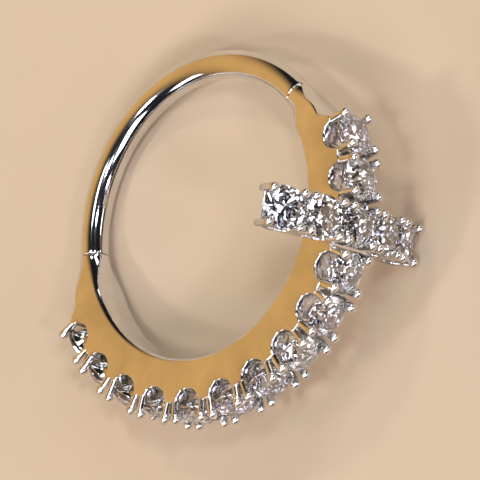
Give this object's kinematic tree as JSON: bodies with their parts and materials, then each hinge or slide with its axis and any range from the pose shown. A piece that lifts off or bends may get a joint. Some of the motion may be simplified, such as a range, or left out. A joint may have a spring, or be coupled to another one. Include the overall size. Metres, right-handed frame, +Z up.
{
  "type": "nose ring",
  "caption": "Small silver-coloured nose hoop, half of it set with a row of round clear stones in claws, with a short domed bar of the same stones across the row to make a cross.",
  "frame": {"origin": "on the surface it lies on, under the middle of its bounding box", "axes": "+Z up from that surface; the cross is at the front, towards -Y; the hoop's axis leans 17 degrees from +Z, towards +Y and a little +X"},
  "size_m": [0.0106, 0.0106, 0.0061],
  "materials": {
    "polished_steel": "mirror-polished stainless steel",
    "clear_stone": "clear faceted cubic zirconia"
  },
  "bodies": {
    "root": {"setting_hoop": "polished_steel", "closing_post": "polished_steel", "stone_row_01": "clear_stone", "stone_row_02": "clear_stone", "stone_row_03": "clear_stone", "stone_row_04": "clear_stone", "stone_row_05": "clear_stone", "stone_row_06": "clear_stone", "stone_row_07": "clear_stone", "stone_row_08": "clear_stone", "stone_row_09": "clear_stone", "stone_row_10": "clear_stone", "stone_row_11": "clear_stone", "stone_row_12": "clear_stone", "stone_cross_centre": "clear_stone", "stone_cross_upper_end": "clear_stone", "stone_cross_upper": "clear_stone", "stone_cross_lower": "clear_stone", "stone_cross_lower_end": "clear_stone"}
  },
  "joints": []
}
